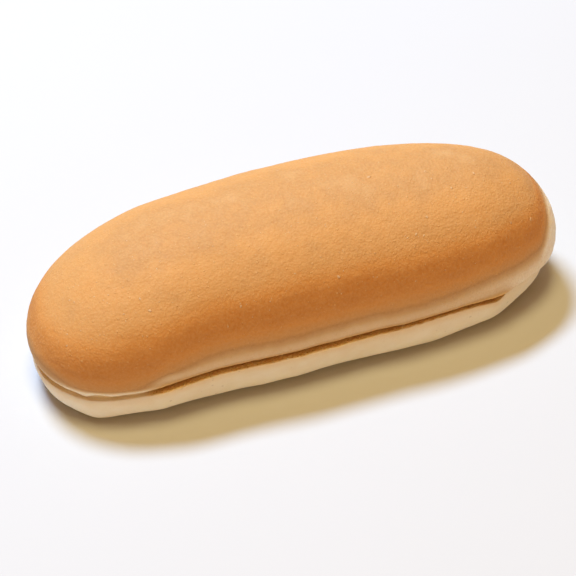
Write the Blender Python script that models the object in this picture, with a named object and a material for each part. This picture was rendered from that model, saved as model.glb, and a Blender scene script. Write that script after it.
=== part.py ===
"""Hinge-cut hoagie roll, one baked piece of bread.

A long browned dome sits on a low pale base. The near side is cut along the join
of the two, and a soft crease carries the join round both ends and the far side.
+X runs along the roll, -Y faces the cut side and +Z is up. The origin is at the
middle of the underside.
"""

import math

import bmesh
import bpy
from mathutils import Vector, noise

MM = 0.001

# Overall size
LENGTH = 164.84
HALF_LENGTH = LENGTH / 2
HALF_WIDTH = 30.5
HEIGHT = 50.52

# Plan outline at the widest level, the belly
BELLY_Z = 16.5
LEFT_END_FULLNESS = 4.63
RIGHT_END_FULLNESS = 2.82
LEFT_SIDE_FULLNESS = 2.08
RIGHT_SIDE_FULLNESS = 2.27
SIDE_BLEND = 2.5
BOW = 3.5  # how far the ends swing towards the cut side
BOW_CENTRE = 0.4
NEAR_SIDE_FULLNESS = 0.45  # how far the side's quarter points stand out
FAR_SIDE_FULLNESS = 0.74
NEAR_SWELLS = (  # station, reach and rise
    (-67.0, 13.0, 0.3),
    (-32.0, 24.0, -1.4),
    (13.0, 13.0, -0.4),
    (55.0, 10.0, 0.4),
)

FAR_SWELLS = (  # station, reach and rise
    (-60.0, 26.0, -0.98),
    (-28.0, 26.0, -0.9),
    (40.0, 22.0, 0.13),
)

# Ridge line along the top of the dome
LEFT_RIDGE = 51.5
RIGHT_RIDGE = 55.0
RIDGE_EASE = 3.5
LEFT_DROOP = 5.23
RIGHT_DROOP = 2.99
DROOP_POWER = 2.2
DOME_SIDE_POWER = 2.04
DOME_TOP_POWER = 2.23

# Join of dome and base
JOIN_MIDDLE_Z = 14.35
JOIN_END_Z = 11.0
JOIN_LEFT = (-68.0, -36.0)
JOIN_RIGHT = (38.0, 70.0)
JOIN_RISES = ((-61.5, 12.0, 0.9), (68.0, 10.0, 2.3))  # station, reach and rise
UNDERCUT = 3.0
LIP_ROUND = 0.98
CUT_BELLY_RISE = 1.5
LEFT_CUT_LEDGE = 3.2
RIGHT_CUT_LEDGE = 2.2
CUT_DEPTH = 13.0
CUT_MOUTH = 0.7
CUT_LEFT_END = -57.0
CUT_RIGHT_END = 64.0
CUT_FADE = 9.0
LEFT_CREASE_LEDGE = 2.65
RIGHT_CREASE_LEDGE = 0.6
LEDGE_FADE = (0.0, 45.0)
CREASE_DEPTH = 0.45
CREASE_MOUTH = 1.1

# Base
CUT_EDGE_ROUND = 0.2
CREASE_EDGE_ROUND = 0.7
EDGE_ROUND_SHARE = 0.3
FOOT_INSET = 6.78
LEFT_FOOT_INSET = 5.7
RIGHT_FOOT_INSET = 6.4
FOOT_SPAN = (0.74, 1.0)
NEAR_FOOT_DRAWS = (  # station, reach and how far the foot draws in
    (-70.5, 7.0, -1.85),
    (-59.0, 9.0, 0.92),
    (-45.0, 15.0, 1.62),
    (4.0, 14.0, 0.94),
    (36.0, 18.0, -1.05),
    (62.0, 8.0, -1.5),
)
RIGHT_LIFT = 2.2
LEFT_LIFT = 0.3
LIFT_START = 0.6

# Baked unevenness of the crust
SWELL = 0.35
SWELL_SIZE = 34.0
DIMPLE = 0.12
DIMPLE_SIZE = 9.0
RAGGED = 0.25
RAGGED_SIZE = 7.0
SEED_OFFSET = Vector((3.1, 7.7, 1.9))

# Mesh resolution
SEGMENTS = 128
DOME_ROWS = 17
CONTOUR_SAMPLES = 1600

# Shares of the profile's parts at which a mesh row lies
LIP_STEPS = (0.0, 0.35, 0.65, 0.86, 0.96, 1.0)
GROOVE_STEPS = (0.12, 0.4, 0.75)
WALL_STEPS = ((0.0, 0.0), (0.08, 0.02), (0.22, 0.1), (0.5, 0.26), (0.75, 0.42), (0.92, 0.65), (1.0, 1.0))
UNDER_STEPS = ((4.0, 0.62), (8.0, 0.22), (13.0, 0.0))


def smooth(low, high, value):
    """Eased step from 0 at low to 1 at high."""
    share = min(max((value - low) / (high - low), 0.0), 1.0)
    return share * share * (3 - 2 * share)


def mixed(first, second, share):
    """A measure share of the way from its first value to its second."""
    return first + (second - first) * share


def hump(centre, reach, value):
    """Smooth hump of height 1 at its centre, 0 beyond its reach."""
    return 1 - smooth(0.0, reach, abs(value - centre))


def signed_power(value, power):
    """Power of a value that keeps its sign."""
    return math.copysign(abs(value) ** power, value)


def belly_point(angle):
    """Point of the plan outline at a parameter angle, before even spacing."""
    c = math.cos(angle)
    s = math.sin(angle)
    end = RIGHT_END_FULLNESS if c > 0 else LEFT_END_FULLNESS
    rightness = (1 + math.tanh(SIDE_BLEND * c)) / 2
    side = mixed(LEFT_SIDE_FULLNESS, RIGHT_SIDE_FULLNESS, rightness)
    return HALF_LENGTH * signed_power(c, 2 / end), HALF_WIDTH * abs(s) ** (2 / side)


def even_contour(count):
    """Half outline from the right tip to the left tip in equal steps of length."""
    points = [belly_point(math.pi * i / CONTOUR_SAMPLES) for i in range(CONTOUR_SAMPLES + 1)]
    lengths = [0.0]
    for (xa, ya), (xb, yb) in zip(points, points[1:]):
        lengths.append(lengths[-1] + math.hypot(xb - xa, yb - ya))
    found = []
    at = 0
    for i in range(count + 1):
        wanted = lengths[-1] * i / count
        while at < CONTOUR_SAMPLES - 1 and lengths[at + 1] < wanted:
            at += 1
        share = (wanted - lengths[at]) / (lengths[at + 1] - lengths[at])
        xa, ya = points[at]
        xb, yb = points[at + 1]
        found.append((xa + (xb - xa) * share, ya + (yb - ya) * share))
    found[-1] = (-HALF_LENGTH, 0.0)
    return found


def filled_out(x, y):
    """The half-width of one side with fuller quarter points and slow swells."""
    fullness = NEAR_SIDE_FULLNESS if y < 0 else FAR_SIDE_FULLNESS
    swells = NEAR_SWELLS if y < 0 else FAR_SWELLS
    share = min(abs(y) / HALF_WIDTH, 1.0)
    swell = sum(rise * hump(centre, reach, x) for centre, reach, rise in swells)
    outward = share * fullness * abs(math.sin(math.pi * x / HALF_LENGTH)) + swell
    return y + math.copysign(1.0, y) * outward


def ridge_x(x):
    """Place on the ridge line that a rib at this outline station runs to."""
    reach = RIGHT_RIDGE if x > 0 else LEFT_RIDGE
    return x / (1 + (abs(x) / reach) ** RIDGE_EASE) ** (1 / RIDGE_EASE)


def top_z(x):
    """Height the dome would reach above a station if it had no round ends."""
    reach = RIGHT_RIDGE if x > 0 else LEFT_RIDGE
    droop = RIGHT_DROOP if x > 0 else LEFT_DROOP
    return HEIGHT - droop * (abs(x) / reach) ** DROOP_POWER


def join_height(x):
    """Height of the join of dome and base at a station."""
    middle = smooth(*JOIN_LEFT, x) * (1 - smooth(*JOIN_RIGHT, x))
    ragged = noise.noise(Vector((x / RAGGED_SIZE, 0, 0)) + SEED_OFFSET)
    rise = sum(height * hump(centre, reach, x) for centre, reach, height in JOIN_RISES)
    return mixed(JOIN_END_Z, JOIN_MIDDLE_Z, middle) + rise + RAGGED * ragged


def cut_share(x, y):
    """1 where the roll is cut, 0 round the ends and along the far side."""
    if y > 0:
        return 0.0
    left = smooth(CUT_LEFT_END, CUT_LEFT_END + CUT_FADE, x)
    right = 1 - smooth(CUT_RIGHT_END - CUT_FADE, CUT_RIGHT_END, x)
    return left * right


def bowed(point):
    """A point moved by the gentle bow of the whole roll."""
    share = (point.x / HALF_LENGTH) ** 2 - BOW_CENTRE
    return Vector((point.x, point.y - BOW * share, point.z))


def uneven(point, outward):
    """A crust point pushed along its outward direction by the baked unevenness."""
    swell = noise.noise(point / SWELL_SIZE + SEED_OFFSET)
    dimple = noise.noise(point / DIMPLE_SIZE - SEED_OFFSET)
    return point + outward * (SWELL * swell + DIMPLE * dimple)


class Rib:
    """One upright cross-section from the ridge out to the belly and under to the base."""

    def __init__(self, x, y):
        t = x / HALF_LENGTH
        self.foot = Vector((ridge_x(x), 0.0, 0.0))
        self.tip = Vector((x, filled_out(x, y), 0.0))
        self.reach = self.tip - self.foot
        self.out = self.reach.normalized()
        self.join = join_height(x)
        cut = cut_share(x, y)
        rightness = smooth(*LEDGE_FADE, x)
        crease_ledge = mixed(LEFT_CREASE_LEDGE, RIGHT_CREASE_LEDGE, rightness)
        cut_ledge = mixed(LEFT_CUT_LEDGE, RIGHT_CUT_LEDGE, rightness)
        self.belly_z = BELLY_Z + CUT_BELLY_RISE * cut
        self.mouth = mixed(CREASE_MOUTH, CUT_MOUTH, cut)
        self.depth = mixed(CREASE_DEPTH, CUT_DEPTH, cut)
        self.ledge = mixed(crease_ledge, cut_ledge, cut)
        self.edge_round = mixed(CREASE_EDGE_ROUND, CUT_EDGE_ROUND, cut)
        foot = mixed(FOOT_INSET, RIGHT_FOOT_INSET, smooth(*FOOT_SPAN, t))
        foot = mixed(foot, LEFT_FOOT_INSET, smooth(*FOOT_SPAN, -t))
        if y < 0:
            foot += sum(draw * hump(centre, reach, x) for centre, reach, draw in NEAR_FOOT_DRAWS)
        self.bottom = foot - UNDERCUT + self.ledge
        self.lift = LEFT_LIFT * smooth(LIFT_START, 1.0, -t) + RIGHT_LIFT * smooth(LIFT_START, 1.0, t)

    def inward(self, inset, height):
        """Point at an inset from the belly and a height."""
        return self.tip - self.out * inset + Vector((0, 0, height))

    def dome(self, share):
        """Crust point, share 0 on the ridge and 1 on the belly."""
        rho = math.sin(share * math.pi / 2)
        rise = max(0.0, 1 - rho**DOME_SIDE_POWER) ** (1 / DOME_TOP_POWER)
        point = self.foot + self.reach * rho
        point.z = mixed(self.belly_z, top_z(point.x), rise)
        slope = Vector((self.out.x * rho, self.out.y * rho, rise)).normalized()
        return uneven(point, slope)

    def lip(self, share):
        """Underside of the dome, share 0 on the belly and 1 at the join."""
        inset = UNDERCUT * (1 - math.sqrt(1 - (share * LIP_ROUND) ** 2))
        height = mixed(self.belly_z, self.join + self.mouth / 2, share)
        return uneven(self.inward(inset, height), self.out * (1 - share))

    def groove(self, share, side):
        """Wall of the cut or crease, share 0 at the mouth and 1 at its bottom."""
        lip_inset = UNDERCUT * (1 - math.sqrt(1 - LIP_ROUND**2))
        height = self.join + side * self.mouth / 2 * (1 - share)
        return self.inward(lip_inset + self.depth * share, height)

    def wall(self, drop, inset_share):
        """Base wall, drop 0 at its top edge and 1 on the floor."""
        height = (self.join - self.mouth / 2) * (1 - drop) + self.lift * drop
        rounding = self.edge_round * max(0.0, 1 - drop / EDGE_ROUND_SHARE) ** 2
        return self.inward(UNDERCUT - self.ledge + rounding + self.bottom * inset_share, height)

    def under(self, inset, lift_share):
        """Underside point at an inset from the bottom edge."""
        return self.inward(UNDERCUT - self.ledge + self.bottom + inset, self.lift * lift_share)


def row_makers():
    """The profile from the ridge to the underside, one maker for each mesh row."""
    rows = [lambda rib, s=i / DOME_ROWS: rib.dome(s) for i in range(DOME_ROWS)]
    rows += [lambda rib, s=s: rib.lip(s) for s in LIP_STEPS]
    rows += [lambda rib, s=s: rib.groove(s, 1) for s in GROOVE_STEPS]
    rows += [lambda rib: rib.groove(1.0, 0)]
    rows += [lambda rib, s=s: rib.groove(s, -1) for s in reversed(GROOVE_STEPS)]
    rows += [lambda rib, d=d, i=i: rib.wall(d, i) for d, i in WALL_STEPS]
    rows += [lambda rib, i=i, f=f: rib.under(i, f) for i, f in UNDER_STEPS]
    return rows


def make_collection(name, parent):
    """New collection under a parent."""
    collection = bpy.data.collections.new(name)
    parent.children.link(collection)
    return collection


def clear_scene():
    """Empty the scene of every object and collection."""
    for item in list(bpy.data.objects):
        bpy.data.objects.remove(item)
    for item in list(bpy.data.collections):
        bpy.data.collections.remove(item)


def crust_material():
    """Golden-brown baked crust."""
    material = bpy.data.materials.new("golden_crust")
    material.use_nodes = True
    shader = material.node_tree.nodes["Principled BSDF"]
    shader.inputs["Base Color"].default_value = (0.62, 0.28, 0.09, 1.0)
    shader.inputs["Roughness"].default_value = 0.55
    return material


def build_roll(collection):
    """The whole roll as one closed mesh."""
    rows = row_makers()
    ribs = []
    half = even_contour(SEGMENTS // 2)
    for x, y in half:
        ribs.append(Rib(x, y))
    for x, y in reversed(half[1:-1]):
        ribs.append(Rib(x, -y))

    mesh = bmesh.new()
    bmesh.ops.create_uvsphere(mesh, u_segments=SEGMENTS, v_segments=len(rows) + 1, radius=1.0)
    poles = []
    for vertex in mesh.verts:
        polar = math.acos(max(-1.0, min(1.0, vertex.co.z)))
        row = round(polar / math.pi * (len(rows) + 1)) - 1
        if row < 0:
            poles.append(vertex)
            continue
        if row >= len(rows):
            vertex.co = bowed(Vector((0.0, 0.0, 0.0)))
            continue
        turn = math.atan2(vertex.co.y, vertex.co.x) / (2 * math.pi)
        vertex.co = bowed(rows[row](ribs[round(turn * SEGMENTS) % SEGMENTS]))
    bmesh.ops.delete(mesh, geom=poles, context="VERTS")
    low_x = min(vertex.co.x for vertex in mesh.verts)
    high_x = max(vertex.co.x for vertex in mesh.verts)
    low_y = min(vertex.co.y for vertex in mesh.verts)
    high_y = max(vertex.co.y for vertex in mesh.verts)
    low_z = min(vertex.co.z for vertex in mesh.verts)
    middle = Vector(((low_x + high_x) / 2, (low_y + high_y) / 2, low_z))
    for vertex in mesh.verts:
        vertex.co = (vertex.co - middle) * MM
    bmesh.ops.remove_doubles(mesh, verts=mesh.verts[:], dist=0.01 * MM)
    bmesh.ops.recalc_face_normals(mesh, faces=mesh.faces[:])

    data = bpy.data.meshes.new("hoagie_roll")
    mesh.to_mesh(data)
    mesh.free()
    data.shade_smooth()
    data.set_sharp_from_angle(angle=math.radians(50))
    roll = bpy.data.objects.new("hoagie_roll", data)
    roll.data.materials.append(crust_material())
    collection.objects.link(roll)
    return roll


def main():
    clear_scene()
    build_roll(make_collection("hoagie_roll", bpy.context.scene.collection))


main()
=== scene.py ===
"""The looks of a hinge-cut hoagie roll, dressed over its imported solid.

One long soft roll: a browned dome on a pale low base, sliced along the near side where
the two meet, with torn crumb on the ledge under the slice. Shapes are worked out in
millimetres in the roll's own frame (+X along it, -Y towards the slice, +Z up), and
become metres when a mesh is finished.
"""

import logging
import math
import random
from collections.abc import Callable
from dataclasses import dataclass, field
from enum import Enum

import bmesh
import bpy
from mathutils import Euler, Matrix, Vector, noise


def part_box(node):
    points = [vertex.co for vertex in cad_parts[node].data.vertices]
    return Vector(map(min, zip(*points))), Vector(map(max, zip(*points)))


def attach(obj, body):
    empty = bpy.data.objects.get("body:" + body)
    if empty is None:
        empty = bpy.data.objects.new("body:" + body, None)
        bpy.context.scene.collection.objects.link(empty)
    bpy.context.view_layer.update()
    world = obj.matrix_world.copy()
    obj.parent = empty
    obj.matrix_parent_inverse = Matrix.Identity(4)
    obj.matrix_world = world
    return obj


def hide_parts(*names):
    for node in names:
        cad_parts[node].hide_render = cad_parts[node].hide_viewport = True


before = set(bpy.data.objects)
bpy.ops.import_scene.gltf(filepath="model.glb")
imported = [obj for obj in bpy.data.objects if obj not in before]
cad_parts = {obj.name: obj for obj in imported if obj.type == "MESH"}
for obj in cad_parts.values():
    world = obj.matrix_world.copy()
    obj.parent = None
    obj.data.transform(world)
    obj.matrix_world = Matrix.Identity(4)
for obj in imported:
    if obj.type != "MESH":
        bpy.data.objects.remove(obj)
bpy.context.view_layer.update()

LOG = logging.getLogger("hoagie_roll")

NODE = "hoagie_roll"
BODY = "root"
MM = 0.001
PHOTO_SIDE = 576
NOISE_START = Vector((3.1, 7.7, 1.9))

Colour = tuple[float, float, float]
Input = bpy.types.NodeSocket | Colour | float


class Zone(Enum):
    """Parts of the roll's profile, from the ridge down to the floor."""

    DOME = "dome"
    LIP = "lip"
    CUT_ROOF = "cut_roof"
    CUT_FLOOR = "cut_floor"
    LEDGE = "ledge"
    WALL = "wall"
    UNDERSIDE = "underside"


class Skin(Enum):
    """Materials of the roll's surface, in the order of its material slots."""

    CRUST = 0
    CRUMB = 1
    BASE = 2


ZONE_SKINS = {
    Zone.DOME: Skin.CRUST,
    Zone.LIP: Skin.CRUST,
    Zone.CUT_ROOF: Skin.CRUMB,
    Zone.CUT_FLOOR: Skin.CRUMB,
    Zone.LEDGE: Skin.CRUMB,
    Zone.WALL: Skin.BASE,
    Zone.UNDERSIDE: Skin.BASE,
}


def smooth(low: float, high: float, value: float) -> float:
    """Ease from 0 at one value to 1 at another."""
    share = min(max((value - low) / (high - low), 0.0), 1.0)
    return share * share * (3 - 2 * share)


def mixed(first: float, second: float, share: float) -> float:
    """Go part of the way from one measure to another."""
    return first + (second - first) * share


def hump(centre: float, reach: float, value: float) -> float:
    """Rise smoothly to 1 at a centre and fall to 0 at a reach on both sides."""
    return 1 - smooth(0.0, reach, abs(value - centre))


@dataclass(frozen=True)
class Swell:
    """A slow rise, or a dip where negative, along the roll."""

    centre: float
    reach: float
    rise: float

    def at(self, x: float) -> float:
        """Height of the swell at a station."""
        return self.rise * hump(self.centre, self.reach, x)


@dataclass(frozen=True)
class PlanOutline:
    """Outline of the roll from above at its widest level, a superellipse with unlike ends."""

    half_length: float = 82.42
    half_width: float = 30.5
    left_end_fullness: float = 4.63
    right_end_fullness: float = 2.82
    left_side_fullness: float = 2.08
    right_side_fullness: float = 2.27
    side_blend: float = 2.5
    near_fullness: float = 0.45
    far_fullness: float = 0.74
    near_swells: tuple[Swell, ...] = (
        Swell(-67.0, 13.0, 0.3),
        Swell(-32.0, 24.0, -1.4),
        Swell(13.0, 13.0, -0.4),
        Swell(55.0, 10.0, 0.4),
    )
    far_swells: tuple[Swell, ...] = (
        Swell(-60.0, 26.0, -0.98),
        Swell(-28.0, 26.0, -0.9),
        Swell(40.0, 22.0, 0.13),
    )
    bow: float = 3.5
    bow_centre: float = 0.4
    samples: int = 6000

    def point(self, angle: float) -> tuple[float, float]:
        """Find a point of the outline before even spacing.

        Args:
            angle: Parameter angle from the right tip.

        Returns:
            Its x and its distance from the long axis.
        """
        c = math.cos(angle)
        s = math.sin(angle)
        end = self.right_end_fullness if c > 0 else self.left_end_fullness
        rightness = (1 + math.tanh(self.side_blend * c)) / 2
        side = mixed(self.left_side_fullness, self.right_side_fullness, rightness)
        x = self.half_length * math.copysign(abs(c) ** (2 / end), c)
        return x, self.half_width * abs(s) ** (2 / side)

    def even_points(self, count: int) -> list[tuple[float, float]]:
        """Walk from the right tip to the left tip in equal steps of length.

        Args:
            count: Number of steps.

        Returns:
            The points at the steps' ends, one more than the steps.
        """
        points = [self.point(math.pi * i / self.samples) for i in range(self.samples + 1)]
        lengths = [0.0]
        for (xa, ya), (xb, yb) in zip(points, points[1:]):
            lengths.append(lengths[-1] + math.hypot(xb - xa, yb - ya))
        found = []
        at = 0
        for i in range(count + 1):
            wanted = lengths[-1] * i / count
            while at < self.samples - 1 and lengths[at + 1] < wanted:
                at += 1
            share = (wanted - lengths[at]) / (lengths[at + 1] - lengths[at])
            xa, ya = points[at]
            xb, yb = points[at + 1]
            found.append((mixed(xa, xb, share), mixed(ya, yb, share)))
        found[-1] = (-self.half_length, 0.0)
        return found

    def filled_out(self, x: float, y: float) -> float:
        """Fill out the quarter points of one side and swell it.

        Args:
            x: Station along the roll.
            y: Half-width at the station, negative on the near side.

        Returns:
            The filled-out half-width.
        """
        fullness = self.near_fullness if y < 0 else self.far_fullness
        share = min(abs(y) / self.half_width, 1.0)
        swell = sum(swell.at(x) for swell in (self.near_swells if y < 0 else self.far_swells))
        outward = share * fullness * abs(math.sin(math.pi * x / self.half_length)) + swell
        return y + math.copysign(1.0, y) * outward

    def bowed(self, point: Vector) -> Vector:
        """Swing the ends of the roll gently towards the slice."""
        share = (point.x / self.half_length) ** 2 - self.bow_centre
        return Vector((point.x, point.y - self.bow * share, point.z))


@dataclass(frozen=True)
class RidgeLine:
    """Line along the top of the dome, which the ribs start from."""

    height: float = 50.52
    left_reach: float = 51.5
    right_reach: float = 55.0
    ease: float = 3.5
    left_droop: float = 5.23
    right_droop: float = 2.99
    droop_power: float = 2.2

    def reach(self, x: float) -> float:
        """Reach of the ridge on the side of a station."""
        return self.right_reach if x > 0 else self.left_reach

    def foot(self, x: float) -> float:
        """Find where on the ridge the rib of an outline station starts."""
        share = (abs(x) / self.reach(x)) ** self.ease
        return x / (1 + share) ** (1 / self.ease)

    def top(self, x: float) -> float:
        """Measure how high the dome would reach with no round ends."""
        droop = self.right_droop if x > 0 else self.left_droop
        return self.height - droop * (abs(x) / self.reach(x)) ** self.droop_power


@dataclass(frozen=True)
class Join:
    """Join of dome and base: a slice along the near side, a soft crease elsewhere."""

    middle_z: float = 14.35
    end_z: float = 11.0
    left_rise: tuple[float, float] = (-68.0, -36.0)
    right_fall: tuple[float, float] = (38.0, 70.0)
    rises: tuple[Swell, ...] = (Swell(-61.5, 12.0, 0.9), Swell(68.0, 10.0, 2.3))
    ragged: float = 0.25
    ragged_size: float = 7.0
    cut_ends: tuple[float, float] = (-57.0, 64.0)
    cut_fade: float = 9.0
    left_cut_ledge: float = 3.2
    right_cut_ledge: float = 2.2
    cut_depth: float = 13.0
    cut_mouth: float = 0.7
    cut_edge_round: float = 0.2
    left_crease_ledge: float = 2.65
    right_crease_ledge: float = 0.6
    ledge_fade: tuple[float, float] = (0.0, 45.0)
    crease_depth: float = 0.45
    crease_mouth: float = 1.1
    crease_edge_round: float = 0.7
    undercut: float = 3.0
    lip_round: float = 0.98

    def height(self, x: float) -> float:
        """Find the height of the join at a station.

        Args:
            x: Station along the roll.

        Returns:
            Its height above the floor.
        """
        middle = smooth(*self.left_rise, x) * (1 - smooth(*self.right_fall, x))
        ragged = noise.noise(Vector((x / self.ragged_size, 0, 0)) + NOISE_START)
        rise = sum(swell.at(x) for swell in self.rises)
        return mixed(self.end_z, self.middle_z, middle) + rise + self.ragged * ragged

    def ledge(self, x: float, cut: float) -> float:
        """Measure how far the base stands out under the dome.

        Args:
            x: Station along the roll.
            cut: How far the roll is cut there.

        Returns:
            The ledge's depth.
        """
        rightness = smooth(*self.ledge_fade, x)
        crease = mixed(self.left_crease_ledge, self.right_crease_ledge, rightness)
        return mixed(crease, mixed(self.left_cut_ledge, self.right_cut_ledge, rightness), cut)

    def cut_share(self, x: float, y: float) -> float:
        """Tell how far the roll is cut at a station.

        Args:
            x: Station along the roll.
            y: Half-width there, negative on the near side.

        Returns:
            1 where it is sliced, 0 at the ends and along the far side.
        """
        if y > 0:
            return 0.0
        low, high = self.cut_ends
        return smooth(low, low + self.cut_fade, x) * (1 - smooth(high - self.cut_fade, high, x))

    def lip_inset(self) -> float:
        """How far in from the belly the dome's underside ends."""
        return self.undercut * (1 - math.sqrt(1 - self.lip_round**2))


@dataclass(frozen=True)
class BaseWall:
    """The low base, which draws in towards the floor and lifts a little at the ends."""

    foot_inset: float = 6.78
    left_foot_inset: float = 5.7
    right_foot_inset: float = 6.4
    foot_span: tuple[float, float] = (0.74, 1.0)
    near_draws: tuple[Swell, ...] = (
        Swell(-70.5, 7.0, -1.85),
        Swell(-59.0, 9.0, 0.92),
        Swell(-45.0, 15.0, 1.62),
        Swell(4.0, 14.0, 0.94),
        Swell(36.0, 18.0, -1.05),
        Swell(62.0, 8.0, -1.5),
    )
    right_lift: float = 2.2
    left_lift: float = 0.3
    lift_start: float = 0.6
    edge_share: float = 0.3

    def inset_at(self, x: float, t: float, near: bool) -> float:
        """Measure how far in from the belly the wall's foot stands.

        Args:
            x: Station along the roll.
            t: The station as a share of the half-length.
            near: Whether it is on the sliced side.

        Returns:
            The distance.
        """
        foot = mixed(self.foot_inset, self.right_foot_inset, smooth(*self.foot_span, t))
        foot = mixed(foot, self.left_foot_inset, smooth(*self.foot_span, -t))
        return foot + sum(draw.at(x) for draw in self.near_draws) if near else foot

    def lift_at(self, t: float) -> float:
        """How high the wall's foot stands at a share of the half-length."""
        left = self.left_lift * smooth(self.lift_start, 1.0, -t)
        return left + self.right_lift * smooth(self.lift_start, 1.0, t)


@dataclass(frozen=True)
class Unevenness:
    """Slow swells and dimples of the baked crust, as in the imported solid."""

    swell: float = 0.35
    swell_size: float = 34.0
    dimple: float = 0.12
    dimple_size: float = 9.0

    def push(self, point: Vector, outward: Vector) -> Vector:
        """Push a crust point out or in.

        Args:
            point: Point of the even form.
            outward: Direction away from the crumb.

        Returns:
            The point on the uneven crust.
        """
        swell = noise.noise(point / self.swell_size + NOISE_START)
        dimple = noise.noise(point / self.dimple_size - NOISE_START)
        return point + outward * (self.swell * swell + self.dimple * dimple)


@dataclass(frozen=True)
class RollForm:
    """The whole form of the roll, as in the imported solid."""

    belly_z: float = 16.5
    cut_belly_rise: float = 1.5
    dome_side_power: float = 2.04
    dome_top_power: float = 2.23
    outline: PlanOutline = field(default_factory=PlanOutline)
    ridge: RidgeLine = field(default_factory=RidgeLine)
    join: Join = field(default_factory=Join)
    wall: BaseWall = field(default_factory=BaseWall)
    unevenness: Unevenness = field(default_factory=Unevenness)


class Rib:
    """One upright section of the roll, from the ridge out to the belly and down to the floor."""

    def __init__(self, form: RollForm, x: float, y: float) -> None:
        """Work out the measures of one section.

        Args:
            form: Form of the whole roll.
            x: Station of the section's belly point.
            y: Half-width there, negative on the near side.
        """
        join = form.join
        t = x / form.outline.half_length
        self.form = form
        self.x = x
        self.near = y < 0
        self.foot = Vector((form.ridge.foot(x), 0.0, 0.0))
        self.tip = Vector((x, form.outline.filled_out(x, y), 0.0))
        self.reach = self.tip - self.foot
        self.out = self.reach.normalized()
        self.cut = join.cut_share(x, y)
        self.join = join.height(x)
        self.mouth = mixed(join.crease_mouth, join.cut_mouth, self.cut)
        self.depth = mixed(join.crease_depth, join.cut_depth, self.cut)
        self.ledge = join.ledge(x, self.cut)
        self.edge_round = mixed(join.crease_edge_round, join.cut_edge_round, self.cut)
        self.belly_z = form.belly_z + form.cut_belly_rise * self.cut
        self.bottom = form.wall.inset_at(x, t, self.near) - join.undercut + self.ledge
        self.lift = form.wall.lift_at(t)

    def inward(self, inset: float, height: float) -> Vector:
        """Place a point at an inset from the belly and a height."""
        return self.tip - self.out * inset + Vector((0, 0, height))

    def dome(self, share: float) -> Vector:
        """Place a point of the crust.

        Args:
            share: 0 on the ridge and 1 on the belly.

        Returns:
            The point.
        """
        form = self.form
        rho = math.sin(share * math.pi / 2)
        rise = max(0.0, 1 - rho**form.dome_side_power) ** (1 / form.dome_top_power)
        point = self.foot + self.reach * rho
        point.z = mixed(self.belly_z, form.ridge.top(point.x), rise)
        slope = Vector((self.out.x * rho, self.out.y * rho, rise)).normalized()
        return form.unevenness.push(point, slope)

    def lip(self, share: float) -> Vector:
        """Place a point of the dome's underside.

        Args:
            share: 0 on the belly and 1 at the join.

        Returns:
            The point.
        """
        join = self.form.join
        inset = join.undercut * (1 - math.sqrt(1 - (share * join.lip_round) ** 2))
        height = mixed(self.belly_z, self.join + self.mouth / 2, share)
        return self.form.unevenness.push(self.inward(inset, height), self.out * (1 - share))

    def cut_wall(self, share: float, side: int) -> Vector:
        """Place a point inside the slice or crease."""
        height = self.join + side * self.mouth / 2 * (1 - share)
        return self.inward(self.form.join.lip_inset() + self.depth * share, height)

    def base(self, drop: float, inset_share: float) -> Vector:
        """Place a point of the base wall.

        Args:
            drop: 0 at the wall's top edge and 1 on the floor.
            inset_share: How much of the wall's draw-in is reached.

        Returns:
            The point.
        """
        height = mixed(self.join - self.mouth / 2, self.lift, drop)
        rounding = self.edge_round * max(0.0, 1 - drop / self.form.wall.edge_share) ** 2
        inset = self.form.join.undercut - self.ledge + rounding + self.bottom * inset_share
        return self.inward(inset, height)

    def under(self, inset: float, lift_share: float) -> Vector:
        """Place a point of the underside."""
        start = self.form.join.undercut - self.ledge + self.bottom
        return self.inward(start + inset, self.lift * lift_share)


@dataclass(frozen=True)
class Row:
    """One level of the mesh round the roll."""

    zone: Zone
    share: float


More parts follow.
